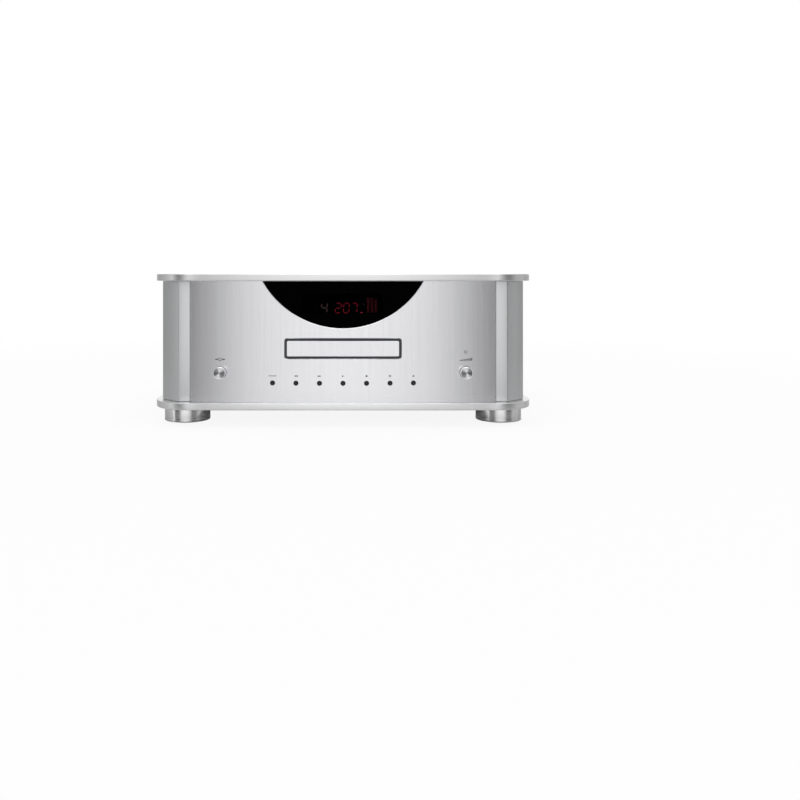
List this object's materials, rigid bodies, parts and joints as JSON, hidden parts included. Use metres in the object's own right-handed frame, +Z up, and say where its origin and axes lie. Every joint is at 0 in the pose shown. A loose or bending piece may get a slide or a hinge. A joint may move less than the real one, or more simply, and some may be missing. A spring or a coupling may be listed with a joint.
{
  "type": "cd player",
  "caption": "Disc player with thick plates, corner posts, a bowed front panel, a round-bottomed display window and a tray that slides out.",
  "frame": {"origin": "on the surface it stands on, in the middle of the plates' width and depth", "axes": "+X to the right of someone who faces the front, +Y from the front to the back, +Z up"},
  "size_m": [0.45, 0.39, 0.178],
  "materials": {
    "plate_metal": "brushed along the width, clear anodised",
    "post_metal": "brushed upright, clear anodised",
    "panel_metal": "fine brushed, clear anodised",
    "turned_metal": "turned, clear anodised",
    "dark_window": "polished, smoked",
    "button_black": "smooth",
    "black_plastic": "fine texture",
    "grey_plastic": "moulded",
    "white_plastic": "moulded",
    "rubber": "matt",
    "sheet_steel": "zinc plated",
    "polished_steel": "ground and polished",
    "lens_glass": "coated",
    "lamp_lens": "clear red",
    "tube_glass": "polished",
    "circuit_board": "solder mask",
    "winding_wrap": "tape over copper winding",
    "gold_plate": "gold plated"
  },
  "bodies": {
    "chassis": {"top_plate": "plate_metal", "bottom_plate": "plate_metal", "post_front_left": "post_metal", "post_front_right": "post_metal", "post_rear_left": "post_metal", "post_rear_right": "post_metal", "front_panel": "panel_metal", "display_window": "dark_window", "side_panel_left": "panel_metal", "side_panel_right": "panel_metal", "rear_panel": "panel_metal", "foot_front_left": "turned_metal", "foot_front_right": "turned_metal", "foot_rear_left": "turned_metal", "foot_rear_right": "turned_metal", "foot_pad_front_left": "rubber", "foot_pad_front_right": "rubber", "foot_pad_rear_left": "rubber", "foot_pad_rear_right": "rubber", "tray_bezel": "black_plastic", "loader_frame": "grey_plastic", "loader_bracket_left": "sheet_steel", "loader_bracket_right": "sheet_steel", "loader_motor": "sheet_steel", "loader_belt": "rubber", "clamp_bridge": "sheet_steel", "status_lamp": "lamp_lens", "key_board": "circuit_board", "display_board": "circuit_board", "display_tube": "tube_glass", "main_board": "circuit_board", "power_board": "circuit_board", "transformer": "winding_wrap", "transformer_clamp": "sheet_steel", "mains_inlet": "black_plastic", "output_sockets": "gold_plate"},
    "tray": {"disc_tray": "black_plastic", "tray_door": "panel_metal"},
    "loader_gear": {"loader_gear": "white_plastic"},
    "motor_pulley": {"motor_pulley": "white_plastic"},
    "traverse": {"traverse_plate": "sheet_steel", "spindle_motor": "sheet_steel", "guide_rod_left": "polished_steel", "guide_rod_right": "polished_steel", "sled_motor": "sheet_steel"},
    "turntable": {"turntable": "black_plastic"},
    "clamp": {"clamp_puck": "black_plastic"},
    "sled": {"pickup_sled": "grey_plastic"},
    "sled_gear": {"sled_gear": "white_plastic"},
    "lens": {"pickup_lens": "lens_glass"},
    "button_1": {"button_1": "button_black"},
    "button_2": {"button_2": "button_black"},
    "button_3": {"button_3": "button_black"},
    "button_4": {"button_4": "button_black"},
    "button_5": {"button_5": "button_black"},
    "button_6": {"button_6": "button_black"},
    "button_7": {"button_7": "button_black"},
    "knob_left": {"knob_left": "turned_metal"},
    "knob_right": {"knob_right": "turned_metal"},
    "power_rocker": {"power_rocker": "button_black"}
  },
  "joints": [
    {"name": "tray_slide", "type": "slide", "parent": "chassis", "child": "tray", "axis": [0, -1, 0], "range_m": [0, 0.14]},
    {"name": "loader_gear_spin", "type": "hinge", "parent": "chassis", "child": "loader_gear", "pos_m": [0.044, -0.168, 0.0835], "axis": [0, 0, 1], "range_deg": [-802.14, 0]},
    {"name": "motor_pulley_spin", "type": "hinge", "parent": "chassis", "child": "motor_pulley", "pos_m": [0.054, -0.133, 0.0804], "axis": [0, 0, 1], "range_deg": [-2256.69, 0]},
    {"name": "traverse_swing", "type": "hinge", "parent": "chassis", "child": "traverse", "pos_m": [0, -0.04, 0.0795], "axis": [1, 0, 0], "range_deg": [0, 5]},
    {"name": "turntable_spin", "type": "hinge", "parent": "traverse", "child": "turntable", "pos_m": [0, -0.1182, 0.09], "axis": [0, 0, 1], "continuous": true},
    {"name": "clamp_spin", "type": "hinge", "parent": "chassis", "child": "clamp", "pos_m": [0, -0.1182, 0.1], "axis": [0, 0, 1], "continuous": true},
    {"name": "sled_slide", "type": "slide", "parent": "traverse", "child": "sled", "axis": [0, 1, 0], "range_m": [0, 0.036]},
    {"name": "sled_gear_spin", "type": "hinge", "parent": "traverse", "child": "sled_gear", "pos_m": [0.031, -0.095, 0.083], "axis": [0, 0, 1], "range_deg": [-294.66, 0]},
    {"name": "lens_focus", "type": "slide", "parent": "sled", "child": "lens", "axis": [0, 0, 1], "range_m": [-0.0005, 0.0005], "stiffness_N_per_m": 50},
    {"name": "button_1_press", "type": "slide", "parent": "chassis", "child": "button_1", "axis": [0, 1, 0], "range_m": [0, 0.0006], "stiffness_N_per_m": 300},
    {"name": "button_2_press", "type": "slide", "parent": "chassis", "child": "button_2", "axis": [0, 1, 0], "range_m": [0, 0.0006], "stiffness_N_per_m": 300},
    {"name": "button_3_press", "type": "slide", "parent": "chassis", "child": "button_3", "axis": [0, 1, 0], "range_m": [0, 0.0006], "stiffness_N_per_m": 300},
    {"name": "button_4_press", "type": "slide", "parent": "chassis", "child": "button_4", "axis": [0, 1, 0], "range_m": [0, 0.0006], "stiffness_N_per_m": 300},
    {"name": "button_5_press", "type": "slide", "parent": "chassis", "child": "button_5", "axis": [0, 1, 0], "range_m": [0, 0.0006], "stiffness_N_per_m": 300},
    {"name": "button_6_press", "type": "slide", "parent": "chassis", "child": "button_6", "axis": [0, 1, 0], "range_m": [0, 0.0006], "stiffness_N_per_m": 300},
    {"name": "button_7_press", "type": "slide", "parent": "chassis", "child": "button_7", "axis": [0, 1, 0], "range_m": [0, 0.0006], "stiffness_N_per_m": 300},
    {"name": "knob_left_press", "type": "slide", "parent": "chassis", "child": "knob_left", "axis": [0, 1, 0], "range_m": [0, 0.002], "stiffness_N_per_m": 300},
    {"name": "knob_right_press", "type": "slide", "parent": "chassis", "child": "knob_right", "axis": [0, 1, 0], "range_m": [0, 0.002], "stiffness_N_per_m": 300},
    {"name": "power_rocker_tip", "type": "hinge", "parent": "chassis", "child": "power_rocker", "pos_m": [0.13, 0.1808, 0.088], "axis": [1, 0, 0], "range_deg": [-16, 0]}
  ],
  "couplings": [
    {"joint": "loader_gear_spin", "follows": "tray_slide", "rad_per_m": -100},
    {"joint": "motor_pulley_spin", "follows": "tray_slide", "rad_per_m": -281.33},
    {"joint": "clamp_spin", "follows": "turntable_spin", "ratio": 1},
    {"joint": "sled_gear_spin", "follows": "sled_slide", "rad_per_m": -142.86}
  ]
}
